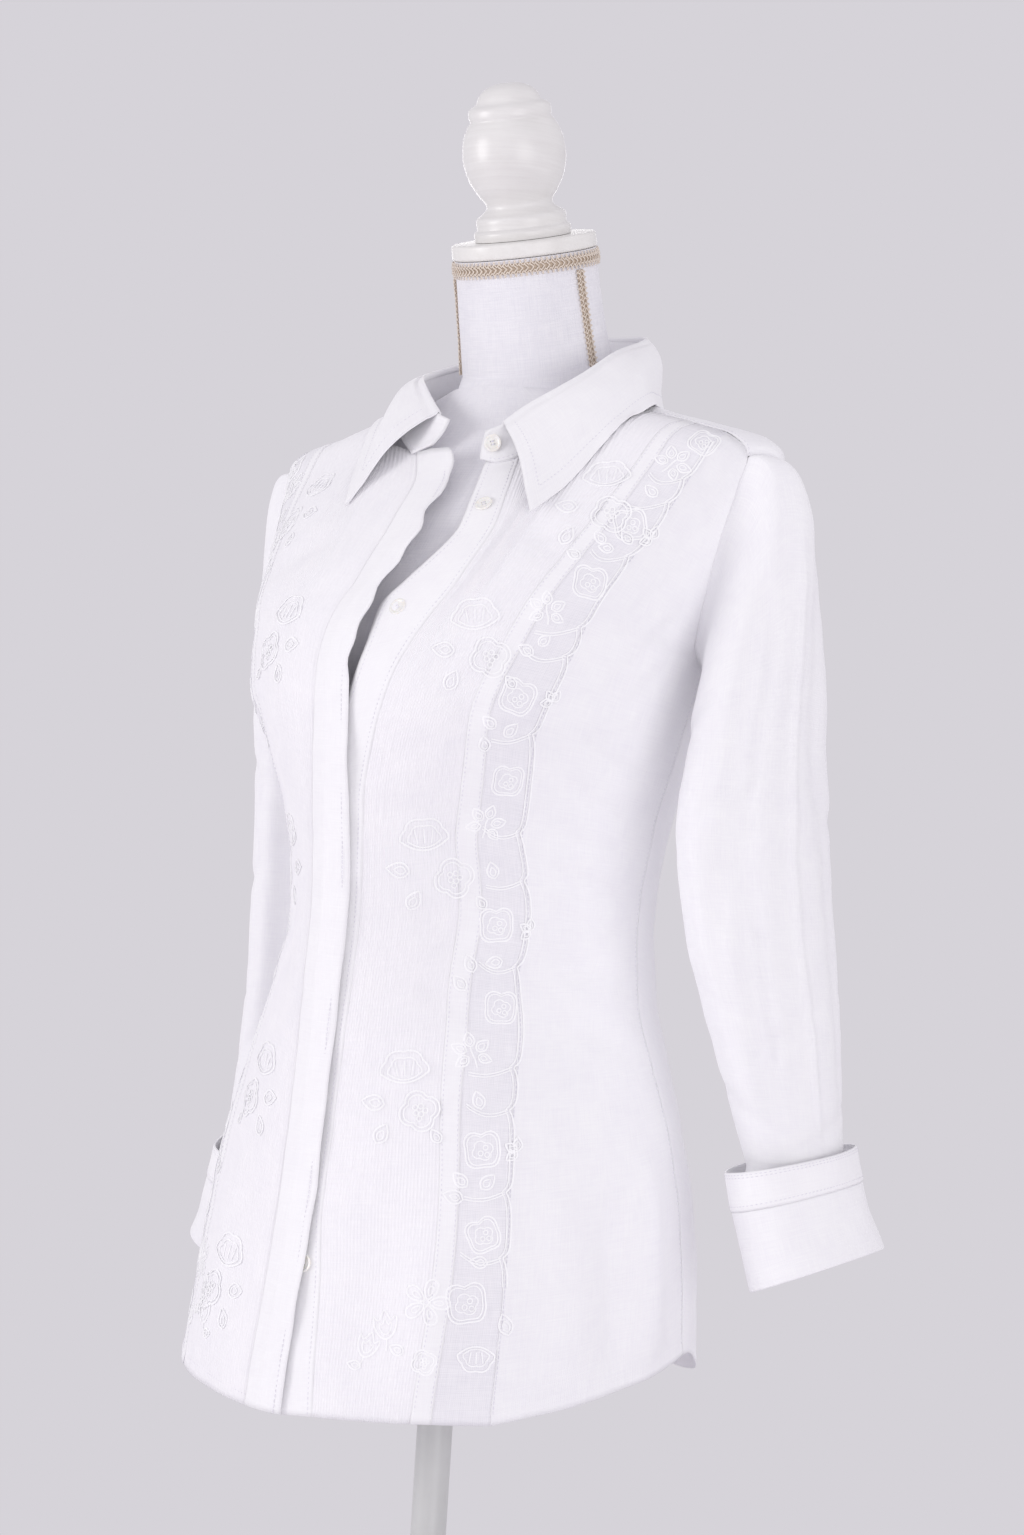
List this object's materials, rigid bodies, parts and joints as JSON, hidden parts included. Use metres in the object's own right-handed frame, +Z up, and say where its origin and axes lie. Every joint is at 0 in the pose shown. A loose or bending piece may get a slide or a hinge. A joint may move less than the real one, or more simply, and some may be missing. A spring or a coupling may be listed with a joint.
{
  "type": "embroidered shirt on dress form stand",
  "caption": "Long-sleeved shirt with tucked fronts, sheer embroidered strips, pointed collar and turned-up cuffs, on a limbless dress form with a finial, pole and round base.",
  "frame": {"origin": "centre of the base's underside, on the pole's axis", "axes": "+Z up the pole to the finial; -Y is the way the garment's front faces; +X is the wearer's left"},
  "size_m": [0.5252, 0.3546, 1.5374],
  "materials": {
    "cloth": "matt plain-woven white cotton, some of it stitched in narrow tucks",
    "sheer": "sheer white cotton with corded embroidery",
    "linen": "matt white linen cover",
    "paint": "off-white satin paint",
    "wood": "turned wood under off-white satin paint",
    "braid": "woven cream gimp braid",
    "button": "ivory shirt button, soft gloss",
    "pole": "light grey satin powder coat"
  },
  "bodies": {
    "root": {"front_tucked_left": "cloth", "front_tucked_right": "cloth", "front_band_left": "cloth", "front_band_right": "cloth", "front_outer_left": "cloth", "front_outer_right": "cloth", "placket_left": "cloth", "placket_right_fly": "cloth", "back_panel": "cloth", "yoke": "cloth", "collar_stand": "cloth", "collar_leaf": "cloth", "sleeve_left": "cloth", "sleeve_right": "cloth", "cuff_band_left": "cloth", "cuff_band_right": "cloth", "cuff_turnback_left": "cloth", "cuff_turnback_right": "cloth", "front_sheer_strip_left": "sheer", "front_sheer_strip_right": "sheer", "button_1": "button", "button_2": "button", "button_3": "button", "button_4": "button", "button_5": "button", "button_6": "button", "button_7": "button", "form_torso": "linen", "form_neck": "linen", "neck_cap": "wood", "finial": "wood", "neck_braid_ring": "braid", "neck_braid_left": "braid", "neck_braid_right": "braid", "stand_base": "paint", "stand_hub": "pole", "stand_pole": "pole"}
  },
  "joints": []
}
